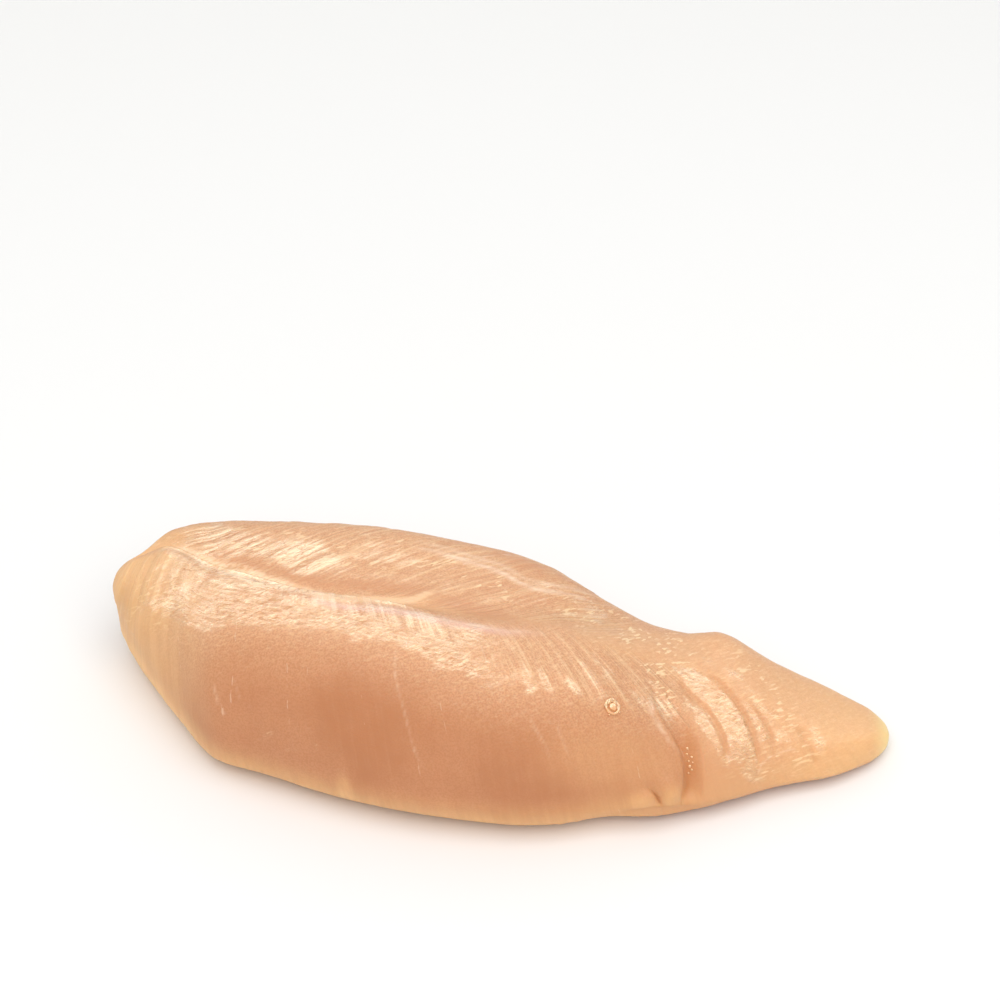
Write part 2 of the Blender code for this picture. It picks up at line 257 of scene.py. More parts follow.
def spot(x, up, half_length, half_width, turned=0.0):
    """A soft oval patch on the leaning plane, its length turned up from X by so many degrees."""
    turn = math.radians(turned)
    off_x, off_up = (seen - np.array((x, up))).T
    along = (off_x * math.cos(turn) + off_up * math.sin(turn)) / half_length
    across = (off_up * math.cos(turn) - off_x * math.sin(turn)) / half_width
    return np.exp(-((along**2 + across**2) ** 1.5)) * facing


def spots(*rows):
    """The sum of patches, each given by its strength and what spot takes."""
    return sum(strength * spot(*row) for strength, *row in rows)


# The creases of the tail are grooves in the solid. Each is drawn with the heights it runs between.
TAIL_CREASES = (
    (((40.0, 12.3), (43.0, 7.1), (47.3, 0.2)), 2.0, 9.0),
    (((39.5, 12.1), (43.0, 7.1), (49.0, 1.1), (52.5, -5.9), (53.5, -15.9)), -9.6, 9.8),
    (((43.5, 14.1), (51.0, 8.1), (56.5, 1.6), (59.5, -4.9), (61.0, -15.9)), -10.6, 11.6),
    (((50.5, 12.1), (54.5, 8.1), (60.5, 0.6), (63.5, -4.9), (65.0, -15.9)), -9.2, 4.6),
    (((59.0, 12.1), (64.5, 4.1), (70.5, -3.9), (73.0, -9.4), (73.5, -15.9)), -12.4, -0.4),
)
CREASE_WIDTH, CREASE_FADE = 0.55, 3.0
crack = np.zeros(len(places))
for line, low, high in TAIL_CREASES:
    near, side, share = beside(line)
    up = seen[near, 1]
    open_here = ramp(up, low, low + CREASE_FADE) * ramp(up, high, high - CREASE_FADE) * facing[near]
    crack[near] = np.maximum(crack[near], bell(side, CREASE_WIDTH) * open_here)

# The seam is a groove, and a pale sinew lies in it, flat and broad at the blunt end and a round cord
# later on, whose loose end curls up over the rear lobe. A fold of the film borders its front side.
SINEW = ((-77.4, 39.3), (-72.1, 38.6), (-68.6, 36.5), (-65.2, 34.9), (-59.4, 33.5), (-54.8, 31.7),
         (-50.2, 30.5), (-45.6, 29.4), (-38.6, 27.7), (-29.4, 27.1), (-22.5, 26.8), (-19.0, 27.1),
         (-16.7, 28.2), (-14.4, 28.9), (-12.1, 29.1))
SINEW_HALF_WIDTHS = ((0.0, 0.6), (0.15, 1.5), (0.35, 2.0), (0.5, 1.0), (0.85, 1.0), (1.0, 0.7))
SINEW_HEIGHTS = ((0.0, -0.2), (0.4, -0.1), (0.55, 0.1), (0.8, 0.2), (1.0, 0.4))

near, side, share = beside(SINEW)
half_width = np.interp(share, *zip(*SINEW_HALF_WIDTHS))
turned_front = ramp(normals[near] @ out_of_plane, 0.15, 0.5)
sinew, broad, fold = np.zeros((3, len(places)))
sinew[near] = np.exp(-1.2 * (side / half_width) ** 2) * fade_ends(share, 0.06, 0.08) * turned_front
broad[near] = sinew[near] * ramp(half_width, 0.9, 1.6)
fold[near] = bell(side - half_width - 0.2, 0.5) * fade_ends(share, 0.05, 0.6) * facing[near]
relief[near] += np.interp(share, *zip(*SINEW_HEIGHTS)) * sinew[near]
seam_groove = np.maximum(mark(SINEW, 1.3, 0.1, 0.25, shift=-2.6), 2.0 * fold)

# A thin lilac edge of the membrane, one step high, runs on from the sinew to where the fibres of
# the tail fan out.
MEMBRANE_EDGE = ((-47.9, 29.4), (-36.3, 25.9), (-27.1, 25.2), (-20.2, 24.3), (-15.6, 22.9), (-8.6, 21.7),
                 (0.6, 20.1), (7.5, 19.7), (14.5, 18.7))
near, side, share = beside(MEMBRANE_EDGE)
step = ramp(side, -0.7, 0.1) * ramp(side, 2.6, 0.3) * fade_ends(share, 0.25, 0.3) * facing[near]
relief[near] += 0.07 * step
lilac = mark(MEMBRANE_EDGE, 0.9, 0.15, 0.3, shift=0.3)
# A painted highlight along the step's edge.
edge_line = mark(MEMBRANE_EDGE, 0.3, 0.25, 0.35)

# A double white line of membrane crosses the rear lobe, and the strip behind it slopes away. Its
# white is partly the membrane's and partly a painted highlight along the ridge.
WHITE_LINE = ((-21.3, 39.7), (-13.2, 37.9), (-6.3, 35.8), (0.6, 33.5), (7.5, 30.1), (16.8, 28.2),
              (24.8, 25.9))
white = mark(WHITE_LINE, 0.4, 0.2, 0.2) + 0.5 * mark(WHITE_LINE, 0.4, 0.2, 0.2, shift=-1.5)
relief += 0.15 * white

# The flap's lip is a pale ridge that runs down the flank beside the split, its paleness partly a
# painted highlight on its edge. A short nick parts the two lobes at its foot, which bulge over the
# edge below them.
LIP = ((35.2, 5.6), (35.9, 1.0), (39.4, -4.8), (42.1, -8.0), (43.1, -12.2), (43.3, -15.6), (42.1, -19.1))
NICK = ((34.6, -15.6), (35.8, -17.2), (37.2, -18.9), (37.7, -20.2))
lip = mark(LIP, 0.4, 0.15, 0.8)
split = mark(LIP, 0.7, 0.6, 0.1, shift=-0.3)
nick = mark(NICK, 0.35, 0.6, 0.2)
relief += 0.12 * mark(LIP, 0.9, 0.3, 0.7, shift=-0.5) - 0.3 * nick
relief += spots((1.1, 39.7, -17.0, 3.2, 2.2, 80.0), (0.9, 33.6, -18.6, 3.0, 1.8, 20.0),
                (-0.8, 36.8, -21.6, 9.0, 0.9, 4.0))

# The film over the front lobe has cracked where it was stretched. Fine scratches in the wet skin come
# from handling: two on the rear lobe, one across the tail and five that run down the front flank.
FILM_CRACKS = (
    ((-69.2, 31.3), (-65.7, 33.7), (-61.0, 34.7), (-56.2, 32.8)),
    ((-70.4, 28.4), (-68.0, 31.6), (-65.1, 32.8)),
    ((-58.6, 25.1), (-53.8, 26.6), (-50.3, 27.2), (-46.2, 28.0)),
    ((-53.8, 29.8), (-50.3, 29.0), (-46.2, 29.4)),
    ((-56.2, 23.3), (-51.5, 24.5), (-46.7, 25.1)),
    ((-62.1, 26.0), (-58.6, 27.8), (-55.0, 28.4)),
)
SCRATCHES = (
    (0.5, ((-52.2, 21.1), (-42.0, 25.6), (-30.0, 29.3), (-13.2, 33.5))),
    (0.4, ((-37.0, 34.5), (-22.0, 31.5), (-10.0, 31.0))),
    (1.0, ((59.9, -13.4), (61.3, -10.5), (64.5, -8.4), (69.1, -7.1))),
    (0.8, ((-23.7, 17.6), (-23.7, 9.8), (-21.4, 0.8), (-18.8, -8.5), (-15.6, -13.3))),
    (0.75, ((7.3, -0.2), (10.2, -5.1), (12.2, -9.3))),
    (0.75, ((13.5, -1.8), (16.4, -8.9))),
    (0.8, ((-65.7, 7.8), (-64.4, 2.6))),
    (0.8, ((-60.8, 8.5), (-59.5, 4.0))),
)
film_crack = np.max([mark(line, 0.40, 0.3, 0.3) for line in FILM_CRACKS], axis=0)
scratches = [strength * mark(line, 0.22, 0.1, 0.1) for strength, line in SCRATCHES]
scratch = np.max(scratches, axis=0)
relief += 0.05 * sum(scratches) - 0.12 * film_crack

for v, place, normal, move in zip(flesh.data.vertices, places, normals, relief * MM):
    v.co = place + normal * move
flesh.data.update()
flesh.data.shade_smooth()

# The film of juice on the skin is whole over the front lobe's top, down to its foot, and thin or in
# patches elsewhere: a strength for each vertex, from stretches of the skin, from strips between the
# tail's creases, and from patches given by strength, X, up, half length, half width and turn.
PLATEAU_FOOT = ((-90, 30), (-75, 27), (-55, 21), (-30, 18), (0, 21), (20, 18), (40, 14), (60, 14), (90, 10))
FIRST_EDGE = ((39.5, 10.8), (42.0, 5.0), (45.5, -0.4), (48.0, -5.0), (50.5, -10.0))
LAST_EDGE = ((54.0, 13.0), (57.5, 9.5), (62.0, 3.0), (67.0, -3.0), (69.0, -9.0))
WET_PATCHES = (
    (0.95, -62.5, 40.6, 12.0, 4.0, -4.0),
    (0.90, -44.4, 36.8, 8.0, 4.4, -8.0),
    (0.50, -25.0, 37.4, 8.0, 3.2, -14.0),
    (0.45, -34.5, 33.6, 6.0, 1.6, -12.0),
    (0.35, 20.0, 24.0, 9.0, 3.0, -25.0),
    (0.40, -5.2, 11.4, 8.0, 2.4, -5.0),
    (0.50, 7.0, 8.6, 4.0, 1.2, -70.0),
    (0.50, 11.2, 8.2, 3.5, 0.9, -63.0),
    (0.55, 16.8, 8.0, 4.5, 1.0, -56.0),
    (0.55, 21.6, 9.6, 5.0, 1.2, -52.0),
    (0.50, 25.6, 10.4, 4.5, 1.4, -48.0),
    (0.45, -79.5, 25.5, 7.0, 4.5, 62.0),
    (0.25, -79.0, 34.5, 4.0, 2.0, -20.0),
    (0.60, -56.0, 31.5, 14.0, 2.2, -12.0),
    (0.90, 74.4, -6.0, 5.0, 1.7, -66.0),
    (0.75, 58.6, -13.3, 4.2, 2.2, -50.0),
    (0.50, 38.5, 3.0, 6.5, 2.6, -60.0),
)
past_foot = down - along_fillet(x_at, PLATEAU_FOOT) * MM
bays = 2.2 * lumps(260, 11.0) + 1.0 * lumps(700, 12.0)


def strip(left, right, low, high):
    """1 between two drawn lines and between two heights, with soft and ragged ends."""
    inside = np.zeros((2, len(places)))
    for row, (line, edge) in enumerate(((left, -1), (right, 1))):
        near, side, share = beside(line, reach=9.0)
        inside[row, near] = ramp(side * edge + 0.25 * bays[near], -0.1, 0.8)
    up = seen[:, 1] + bays
    return inside[0] * inside[1] * ramp(up, low - 1, low + 1) * ramp(up, high + 1, high - 1)


on_plateau = ramp_mm(past_foot, 2, -2) * ramp_mm(down, 1.5, 4)
whole_film = on_plateau * ramp_mm(x_at, -80, -70) * ramp_mm(x_at, 9, -20)
below_foot = ramp_mm(past_foot, 8, 1) * ramp_mm(past_foot, -4, 0) * ramp_mm(x_at, -70, -60)
in_the_fan = zone(-16, 36, 3, 22, 12, 6)
on_rear_lobe = zone(-76, 26, -26, -5, 12, 6)
second_crease, third_crease = TAIL_CREASES[1][0], TAIL_CREASES[2][0]
wet = 0.75 * whole_film + 0.16 * in_the_fan + 0.15 * on_rear_lobe + 0.21 * below_foot
wet += 0.75 * strip(FIRST_EDGE, second_crease, -10.0, 10.5)
wet += 0.85 * strip(second_crease, third_crease, -9.2, 11.5)
wet += 0.6 * strip(third_crease, LAST_EDGE, -6.5, 12.0)
wet = np.clip(wet + spots(*WET_PATCHES), 0.0, 1.0)
wet *= (1 - 0.9 * np.clip(crack + split, 0.0, 1.0)) * (1 - 0.8 * ramp(normals[:, 1], 0.25, 0.50))

# Its colours follow the real tissue: pink muscle, paler where wet membrane covers it, cream where
# fat or a thin edge lets the light through, and near white on the sinew. Some are painted light and
# shade: painted highlights and glints on the wet film, painted shade in the creases, grooves, hollows
# and valley, and partly painted light on the low edge. Each mask says where a colour or a finish
# lies, from 0 to 1.
FROTH_PLACE = (26.5, 2.4)

tip = ramp_mm(x_at, 84, 90)
# The low edge facing the front is painted cream: partly the pale edge of the tissue, partly painted light
# that lifts the shade under it.
low_edge = ramp_mm(z_at, 15, 1) * ramp(normals[:, 1], 0.2, -0.4) * (1 - 0.6 * ramp_mm(x_at, 30, 50))
blunt_end = ramp_mm(x_at, -58, -90) * ramp(normals[:, 1], 0.7, 0.0)
thin_tail = ramp_mm(x_at, 55, 82)
under_flap = spot(36.4, -22.8, 15.0, 1.8, 5.0)
# Painted shade: darker in the split's hollow, under the froth and in the groove below the two lobes.
shade_marks = spots((0.55, 44.6, -8.6, 7.0, 1.7, -84.0), (0.35, 45.4, -9.0, 8.5, 3.4, -84.0),
                   (0.6, *FROTH_PLACE, 2.4, 2.2), (0.5, 36.4, -20.9, 8.0, 0.55, 8.0))
pale_marks = spots((0.3, -35.2, -16.5, 3.6, 1.7, -75.0), (0.20, 28.0, -11.0, 17.0, 8.0, -5.0),
                   (0.25, 33.0, -19.6, 3.2, 2.0), (0.25, 40.4, -18.2, 3.0, 2.6, 70.0))
fibres_at_blunt_end = ramp_mm(x_at, -64, -78) * ramp_mm(down, 2, 8) * (1 - 0.75 * ramp_mm(down, 14, 24))
masks = {
    "sinew": sinew,
    "broad": broad,
    "lilac": lilac,
    # Pale lines: membrane and scratches, partly painted highlights along the rear lobe's ridge, the lip's
    # edge and the membrane's step.
    "white_line_and_highlight": white + 0.7 * lip + 0.35 * scratch + 0.7 * edge_line,
    # Painted shade in the tail's creases, the seam's groove, the nick, the split, the film's cracks and the
    # marks above; the same mask makes those places rougher.
    "crease": 0.4 * crack + 0.3 * seam_groove + 0.6 * nick + split + film_crack + shade_marks,
    "tip": tip,
    "rim": ramp_mm(z_at, 3.6, 1.2) * ramp_mm(x_at, 14, 34) * (1 - 0.8 * tip),
    "cream_edge": np.clip(0.85 * low_edge + 0.75 * blunt_end + 0.35 * thin_tail + pale_marks, 0.0, 1.0)
    * (1 - 0.7 * under_flap),
    "film": ramp_mm(past_foot, 18, -5) * ramp_mm(x_at, -88, -70) * ramp(normals[:, 2], -0.8, -0.3),
    "wet": wet * ramp_mm(z_at, 1, 4),
    # Painted shade: the valley above the sinew darkened towards plain muscle.
    "valley": spots((0.6, -56.0, 34.6, 15.0, 2.0, -13.0), (0.6, -28.0, 30.4, 15.0, 1.5, -5.0),
                    (0.75, -5.0, 24.9, 12.0, 1.8, -14.0), (0.3, 2.0, 29.0, 12.0, 3.0, -14.0),
                    (0.6, 6.0, 36.5, 9.0, 3.0, -22.0)),
    # Painted glints: where short bright dashes are laid on the wet skin.
    "sparkle": spots((1, -79.0, 28.0, 10.0, 6.0, 60.0), (1, -50.0, 39.0, 28.0, 5.0, -6.0),
                     (1, -8.0, 34.0, 22.0, 4.0, -22.0), (1, 26.0, 21.0, 16.0, 4.5, -30.0),
                     (1, 42.0, 15.5, 12.0, 4.0, -35.0), (1, 62.0, 5.5, 13.0, 4.0, -52.0),
                     (1, 38.0, 6.0, 10.0, 4.0, -60.0), (1, 66.0, -10.0, 10.0, 4.0, 20.0)),
    "flush": zone(18, 60, -14, 3, 16, 8) + zone(-20, 12, -6, 0, 12, 4) + 0.75 * ramp_mm(x_at, 38, 48)
    + 0.8 * spot(36.4, -22.6, 13.0, 1.4, 4.0),
    "fibrous": 0.9 * zone(0, 40, 1, 18, 14, 8) + 0.8 * zone(-48, -8, 0, 13) + zone(-84, 30, -34, -3)
    + fibres_at_blunt_end,
}
values_of = {name: np.clip(values, 0.0, 1.0) for name, values in masks.items()}
values_of.update(fibre=fibre, down=down)
for name, values in values_of.items():
    attribute = flesh.data.attributes.new(name, "FLOAT", "POINT")
    attribute.data.foreach_set("value", values.astype(np.float32))

# The flesh's material: moist muscle under a clear film, with fibres, crinkles and fine cracks.
MUSCLE = (0.580, 0.262, 0.129)
DEEP_MUSCLE = (0.502, 0.206, 0.092)
PALE_FIBRE = (0.66, 0.34, 0.20)
FLUSHED = (0.735, 0.395, 0.198)
FILM = (0.69, 0.365, 0.19)
CREAM = (0.89, 0.53, 0.238)
TIP_YELLOW = (0.90, 0.67, 0.30)
LILAC = (0.72, 0.42, 0.34)
SINEW_CREAM = (0.87, 0.55, 0.32)
BROAD_SINEW = (0.95, 0.72, 0.47)
MEMBRANE_AND_HIGHLIGHT_WHITE = (0.88, 0.64, 0.46)
# Painted shade, for creases, grooves, cracks and hollows.
CREASE_SHADE_BROWN = (0.56, 0.22, 0.075)
RIM_BROWN = (0.60, 0.27, 0.13)
# Painted highlight: the cream laid on the wet film stands in for the warm softboxes' reflection in it.
HIGHLIGHT_CREAM = (0.92, 0.66, 0.39)
WRINKLE_TURN = math.radians(-18.0)

raw_flesh = bpy.data.materials.new("raw_flesh")
raw_flesh.use_nodes = True
tree = raw_flesh.node_tree
shader = tree.nodes["Principled BSDF"]


def feed(socket, value):
    """Join a node's output to a socket, or set the socket to a value."""
    if isinstance(value, bpy.types.NodeSocket):
        tree.links.new(value, socket)
    else:
        socket.default_value = value


def add_node(kind, inputs=None, **settings):
    """A node with its settings made and its named inputs fed."""
    made = tree.nodes.new(kind)
    for name, value in settings.items():
        setattr(made, name, value)
    for name, value in (inputs or {}).items():
        feed(made.inputs[name], value)
    return made


def calculate(operation, *values):
    made = add_node("ShaderNodeMath", operation=operation)
    for socket, value in zip(made.inputs, values):
        feed(socket, value)
    return made.outputs[0]


def times(product, *factors):
    """The product of all that is given."""
    for factor in factors:
        product = calculate("MULTIPLY", product, factor)
    return product


def scaled(value, gain, base):
    """The value times the gain, plus the base."""
    return calculate("MULTIPLY_ADD", value, gain, base)


def limit(value, low, high):
    """0 below low, 1 above high, and smooth between them; high may lie below low."""
    return add_node("ShaderNodeMapRange", {"Value": value, "From Min": low, "From Max": high},
                    interpolation_type="SMOOTHSTEP").outputs["Result"]


def tint(share, under, over):
    """The under colour, with the over colour laid on it by a share."""
    made = add_node("ShaderNodeMix", data_type="RGBA")
    for number, value in ((0, share), (6, under), (7, over)):
        feed(made.inputs[number], (*value, 1.0) if isinstance(value, tuple) else value)
    return made.outputs[2]


def field(place, per_metre, detail=2.0, roughness=0.5):
    """Noise from 0 to 1 with that many waves a metre along each axis of the place."""
    stretched = add_node("ShaderNodeVectorMath", {0: place, 1: per_metre}, operation="MULTIPLY")
    return add_node("ShaderNodeTexNoise", {"Vector": stretched.outputs["Vector"], "Scale": 1.0,
                                           "Detail": detail, "Roughness": roughness}).outputs["Fac"]


def thin_lines(noise_value, width):
    """1 on the lines where a noise passes its middle value."""
    return limit(calculate("ABSOLUTE", calculate("SUBTRACT", noise_value, 0.5)), width, 0.0)


# Places: over the whole piece, along the fibres, and turned to the way the film wrinkles.
mask = {name: add_node("ShaderNodeAttribute", attribute_name=name).outputs["Fac"] for name in values_of}
whole_place = tree.nodes.new("ShaderNodeTexCoord").outputs["Object"]
fibre_place = add_node("ShaderNodeCombineXYZ", {"X": mask["fibre"], "Y": mask["down"]}).outputs["Vector"]
wrinkle_place = add_node("ShaderNodeMapping", {
    "Vector": whole_place, "Rotation": (PLANE_LEAN - math.pi / 2, 0.0, WRINKLE_TURN)}).outputs["Vector"]
wavering_fibre = scaled(field(fibre_place, (60.0, 300.0, 1.0)), 0.9 * MM, mask["fibre"])
hair_place = add_node("ShaderNodeCombineXYZ", {"X": wavering_fibre, "Y": mask["down"]}).outputs["Vector"]

# Patterns: fibres along and across, the muscle's mottle and grain, the film's crinkles and patches,
# its network of cracks, fine hairs along the fibres, and short bright dashes for painted glints.
streaks = field(fibre_place, (800.0, 45.0, 1.0), 3.0, 0.65)
ripples = field(fibre_place, (350.0, 1400.0, 1.0), 2.0, 0.6)
mottle = field(whole_place, (55.0, 55.0, 55.0), 4.0)
fine_grain = field(whole_place, (2300.0, 2300.0, 2300.0), 1.0)
crinkle = field(wrinkle_place, (550.0, 2000.0, 550.0), 2.0, 0.7)
patches = field(wrinkle_place, (110.0, 240.0, 110.0), 4.0, 0.65)
broken = limit(patches, 0.35, 0.6)
crackle = times(thin_lines(field(wrinkle_place, (260.0, 950.0, 260.0), 2.0), 0.06), mask["wet"],
                limit(field(wrinkle_place, (90.0, 90.0, 90.0), 2.0), 0.42, 0.56))
hair = times(thin_lines(field(hair_place, (150.0, 8.0, 1.0), 0.0), 0.008),
             limit(field(fibre_place, (900.0, 420.0, 1.0), 2.0), 0.48, 0.60),
             limit(field(fibre_place, (150.0, 50.0, 1.0), 1.0), 0.53, 0.62))
dashes = times(mask["sparkle"], limit(field(wrinkle_place, (380.0, 1700.0, 380.0), 1.0), 0.56, 0.64),
               limit(field(wrinkle_place, (150.0, 300.0, 150.0), 2.0), 0.44, 0.58))

patchy_wet = limit(calculate("ADD", mask["wet"], times(calculate("SUBTRACT", patches, 0.5), 2.0)), 0.3, 0.85)
thin_film = times(mask["film"], 0.22)
highlighted_crests = calculate("MAXIMUM", thin_film, times(patchy_wet, scaled(mask["fibrous"], -0.35, 0.80)))
fibre_sheen_and_shade = times(mask["fibrous"], scaled(patchy_wet, 0.4, 0.3))
texture = calculate("ADD", times(ripples, calculate("SUBTRACT", 1.0, mask["fibrous"])),
                    times(streaks, mask["fibrous"]))
glint = times(patchy_wet, scaled(limit(texture, 0.40, 0.58), 0.85, 0.15))

# Colours are laid on one over the other, from the muscle up: fibres, clear film and grain, painted
# highlights on the wet film's crests and fibres with painted shade in their hollows, painted shade in
# the valley, painted glints, fat and thin edges, membrane and sinew, then painted shade in the creases
# and cracks, and hairs.
colour = tint(limit(mottle, 0.35, 0.7), MUSCLE, DEEP_MUSCLE)
for share, over in (
    (times(limit(streaks, 0.45, 0.70), 0.10), PALE_FIBRE),
    (mask["film"], FILM),
    (times(limit(fine_grain, 0.38, 0.66), 0.55), DEEP_MUSCLE),
    (times(mask["flush"], 0.8), FLUSHED),
    # Painted highlight on the crests of the wet film's crinkles, and painted shade in their troughs.
    (times(limit(crinkle, 0.52, 0.66), highlighted_crests), HIGHLIGHT_CREAM),
    (times(limit(crinkle, 0.46, 0.34), scaled(patchy_wet, 0.5, thin_film)), DEEP_MUSCLE),
    # Painted highlight: a cream veil over all the wet film.
    (times(patchy_wet, 0.20), HIGHLIGHT_CREAM),
    # Fibres: partly their own pale and dark streaks and, more where wet, painted highlights on their crests
    # with painted shade between them.
    (times(fibre_sheen_and_shade, limit(streaks, 0.48, 0.36)), MUSCLE),
    (times(fibre_sheen_and_shade, limit(streaks, 0.50, 0.62)), HIGHLIGHT_CREAM),
    # Painted shade in the valley above the sinew.
    (mask["valley"], MUSCLE),
    # Painted glints: short bright cream dashes.
    (times(dashes, 0.85), HIGHLIGHT_CREAM),
    # Cream of fat and thin edges; on the low edge partly painted light.
    (times(mask["cream_edge"], scaled(limit(streaks, 0.36, 0.60), 0.20, 0.88)), CREAM),
    (mask["tip"], TIP_YELLOW),
    (times(mask["rim"], 0.55), RIM_BROWN),
    (times(mask["lilac"], 0.7), LILAC),
    (times(limit(mask["sinew"], 0.1, 0.85), scaled(broken, 0.25, 0.72)), SINEW_CREAM),
    (times(mask["broad"], limit(crinkle, 0.40, 0.55)), BROAD_SINEW),
    # Pale lines of membrane, partly painted highlights along ridges and edges.
    (times(mask["white_line_and_highlight"], scaled(broken, 0.6, 0.4)), MEMBRANE_AND_HIGHLIGHT_WHITE),
    # Painted shade in the creases, grooves and hollows.
    (times(mask["crease"], 0.55), CREASE_SHADE_BROWN),
    # Painted shade along the fine cracks of the wet film.
    (times(crackle, patchy_wet, 0.8), CREASE_SHADE_BROWN),
    (times(hair, 0.4), MEMBRANE_AND_HIGHLIGHT_WHITE),
):
    colour = tint(share, colour, over)
feed(shader.inputs["Base Color"], colour)

# Relief finer than the mesh, in millimetres: each pattern's height everywhere, and how much more of
# it there is where its mask is 1.
height = times(fine_grain, 0.06)
for waves, everywhere, more, where in (
    (streaks, 0.03, 0.42, mask["fibrous"]),
    (ripples, 0.04, 0.30, patchy_wet),
    (crinkle, 0.03, 0.34, patchy_wet),
):
    height = scaled(calculate("SUBTRACT", waves, 0.5), scaled(where, more, everywhere), height)
height = calculate("SUBTRACT", height, times(crackle, 0.07))
height = calculate("ADD", height, times(calculate("ADD", hair, dashes), 0.05))
bump = add_node("ShaderNodeBump", {"Height": height, "Strength": 1.0, "Distance": MM})
feed(shader.inputs["Normal"], bump.outputs["Normal"])
dull = scaled(mask["crease"], 0.35, 0.50)
feed(shader.inputs["Roughness"], calculate("SUBTRACT", dull, times(patchy_wet, 0.16)))
feed(shader.inputs["Coat Weight"], scaled(glint, 0.95, 0.04))
shader.inputs["Coat Roughness"].default_value = 0.16
shader.inputs["Coat IOR"].default_value = 1.45
shader.inputs["IOR"].default_value = 1.4
shader.inputs["Specular IOR Level"].default_value = 0.28
shader.inputs["Subsurface Weight"].default_value = 0.25
shader.inputs["Subsurface Radius"].default_value = (1.0, 0.45, 0.22)
shader.inputs["Subsurface Scale"].default_value = 3 * MM
flesh.data.materials.clear()
flesh.data.materials.append(raw_flesh)
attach(flesh, "root")
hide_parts("chicken_breast")

# Froth: a cluster of tiny bubbles of juice, dried to a ring, on the front lobe near its low end, and
# a few small beads of juice in the split. Each bubble or bead is a squashed ball that sits half in
# the skin, and the ring is a bent, uneven bead. Places and radii are in millimetres.
RING_RADIUS, RING_THICKNESS = 1.65, 0.32
BUBBLES = ((0.25, 0.0, 0.95), (-1.0, 0.9, 0.55), (0.8, 1.2, 0.50), (1.6, 0.1, 0.45), (-0.2, 1.5, 0.45),
           (-1.7, -0.1, 0.38), (-0.8, -2.2, 0.26), (1.8, -0.9, 0.30))
BUBBLE_SQUASH, BUBBLE_LIFT = 0.55, 0.02
UNEVENNESS, UNEVEN_OVER, FROTH_SEED = 0.22, 0.9, 5
BEADS = ((43.9, -7.3, 0.34), (43.7, -8.7, 0.26), (44.6, -9.2, 0.30), (43.9, -10.3, 0.24), (44.4, -11.2, 0.38),
         (44.9, -12.0, 0.28), (43.9, -12.9, 0.22), (45.1, -10.4, 0.20))
BEAD_SQUASH = 0.6
HIDDEN = 1000.0


def onto_skin(x, up):
    """The place on the skin that is seen at a point of the leaning plane, with Z out of the skin."""
    nearest = (np.hypot(*(seen - np.array((x, up))).T) + np.where(facing > 0.3, 0.0, HIDDEN)).argmin()
    skin_normal = Vector(normals[nearest])
    sideways = Vector((1.0, 0.0, 0.0)) - skin_normal * skin_normal.x
    sideways.normalize()
    return Matrix.Translation(flesh.data.vertices[nearest].co) @ Matrix(
        (sideways, skin_normal.cross(sideways), skin_normal)).transposed().to_4x4()


bm = bmesh.new()
for across, upward, radius in BUBBLES:
    ball = bmesh.ops.create_uvsphere(bm, u_segments=20, v_segments=12, radius=radius * MM)["verts"]
    bmesh.ops.scale(bm, vec=(1.0, 1.0, BUBBLE_SQUASH), verts=ball)
    bmesh.ops.translate(bm, vec=Vector((across, upward, BUBBLE_LIFT)) * MM, verts=ball)
upright = Matrix.Translation((RING_RADIUS * MM, 0.0, 0.0)) @ Matrix.Rotation(math.pi / 2, 4, "X")
section = bmesh.ops.create_circle(bm, segments=10, radius=RING_THICKNESS * MM, matrix=upright)["verts"]
section_edges = [e for e in bm.edges if e.verts[0] in section]
bmesh.ops.spin(bm, geom=section + section_edges, cent=(0, 0, 0), axis=(0, 0, 1), angle=math.tau, steps=40,
               use_merge=True)
bmesh.ops.recalc_face_normals(bm, faces=bm.faces)
noise.seed_set(FROTH_SEED)
for v in bm.verts:
    v.co += UNEVENNESS * MM * noise.noise_vector(v.co / (UNEVEN_OVER * MM))
bmesh.ops.transform(bm, matrix=onto_skin(*FROTH_PLACE), verts=bm.verts)
for x, up, radius in BEADS:
    lie = onto_skin(x, up) @ Matrix.Diagonal((1.0, 1.0, BEAD_SQUASH, 1.0))
    bmesh.ops.create_uvsphere(bm, u_segments=16, v_segments=10, radius=radius * MM, matrix=lie)
mesh = bpy.data.meshes.new("froth")
bm.to_mesh(mesh)
bm.free()
mesh.shade_smooth()
froth = bpy.data.objects.new("froth", mesh)
bpy.context.scene.collection.objects.link(froth)
dried_juice = bpy.data.materials.new("dried_juice")
dried_juice.use_nodes = True
juice = dried_juice.node_tree.nodes["Principled BSDF"]
juice.inputs["Base Color"].default_value = (0.80, 0.44, 0.22, 1.0)
juice.inputs["Roughness"].default_value = 0.25
juice.inputs["Coat Weight"].default_value = 0.6
juice.inputs["Subsurface Weight"].default_value = 0.3
juice.inputs["Subsurface Radius"].default_value = (1.0, 0.45, 0.22)
juice.inputs["Subsurface Scale"].default_value = 1 * MM
froth.data.materials.append(dried_juice)
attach(froth, "root")

# The board under the fillet is a plain pale floor, far wider than the picture.
FLOOR_HALF = 3.0
bm = bmesh.new()
bmesh.ops.create_grid(bm, x_segments=1, y_segments=1, size=FLOOR_HALF)
mesh = bpy.data.meshes.new("floor")
bm.to_mesh(mesh)
bm.free()
floor = bpy.data.objects.new("floor", mesh)
bpy.context.scene.collection.objects.link(floor)
paper = bpy.data.materials.new("white_paper")
paper.use_nodes = True
paper.node_tree.nodes["Principled BSDF"].inputs["Base Color"].default_value = (0.86, 0.86, 0.86, 1.0)
paper.node_tree.nodes["Principled BSDF"].inputs["Roughness"].default_value = 0.9
floor.data.materials.append(paper)

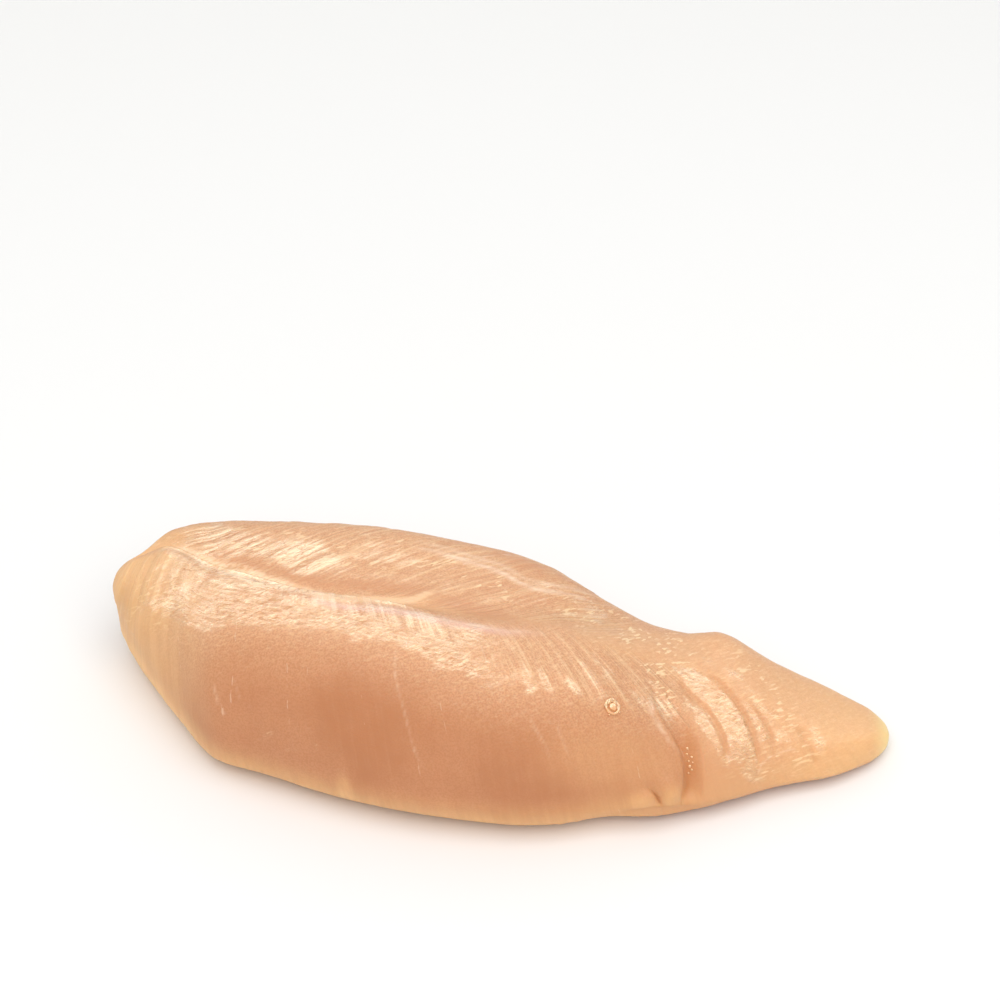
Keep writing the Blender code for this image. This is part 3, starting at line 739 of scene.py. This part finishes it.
# A large soft lamp hangs over the front. The warm softboxes behind and beside only show in the wet
# skin and are made not to light anything else. Each has its place, size, power and colour.
LAMPS = (
    ("key", (0.08, -0.50, 1.00), (1.2, 1.2), 10.0, (1.0, 1.0, 1.0)),
    ("softbox", (0.10, 0.52, 0.98), (2.0, 1.3), 37.0, (1.0, 0.97, 0.80)),
    ("rear softbox", (0.00, 1.05, 0.42), (2.0, 0.5), 4.5, (1.0, 0.94, 0.78)),
    ("side softbox", (-1.00, 0.45, 0.45), (0.9, 0.8), 10.0, (1.0, 0.94, 0.78)),
)
STUDIO_GLOW = 0.62
for name, place, size, power, warmth in LAMPS:
    lamp = bpy.data.lights.new(name, "AREA")
    lamp.shape = "RECTANGLE"
    lamp.size, lamp.size_y = size
    lamp.energy = power
    lamp.color = warmth
    light = bpy.data.objects.new(name, lamp)
    light.location = place
    light.rotation_euler = (-Vector(place)).to_track_quat("-Z", "Y").to_euler()
    light.visible_diffuse = name == "key"
    bpy.context.scene.collection.objects.link(light)
world = bpy.data.worlds.new("studio")
world.use_nodes = True
world.node_tree.nodes["Background"].inputs["Color"].default_value = (1.0, 1.0, 1.0, 1.0)
world.node_tree.nodes["Background"].inputs["Strength"].default_value = STUDIO_GLOW
bpy.context.scene.world = world
bpy.context.scene.view_settings.view_transform = "Standard"

# The camera looks down on the front of the fillet with a long lens, square to the leaning plane at
# its middle, which lies at a named pixel of the picture.
LENS, SENSOR = 100.0, 36.0
METRES_PER_PIXEL = 1 / 4333.0
HALF_PICTURE = 500
MIDDLE_PIXEL = (501.5, 734.0)

half_frame = SENSOR / 2 / LENS
distance = HALF_PICTURE / half_frame * METRES_PER_PIXEL
pixels_right, pixels_down = (pixel - HALF_PICTURE for pixel in MIDDLE_PIXEL)
tilt = PLANE_LEAN - math.atan(pixels_down / HALF_PICTURE * half_frame)
aim = Vector((0.0, math.cos(tilt), -math.sin(tilt)))
above = Vector((0.0, math.sin(tilt), math.cos(tilt)))
across = Vector((1.0, 0.0, 0.0))
camera = bpy.data.objects.new("camera", bpy.data.cameras.new("camera"))
camera.data.lens = LENS
camera.data.sensor_width = SENSOR
camera.location = (
    Vector(MIDDLE) - aim * distance + above * pixels_down * METRES_PER_PIXEL
    - across * pixels_right * METRES_PER_PIXEL
)
camera.rotation_euler = (math.pi / 2 - tilt, 0.0, 0.0)
bpy.context.scene.collection.objects.link(camera)
bpy.context.scene.camera = camera
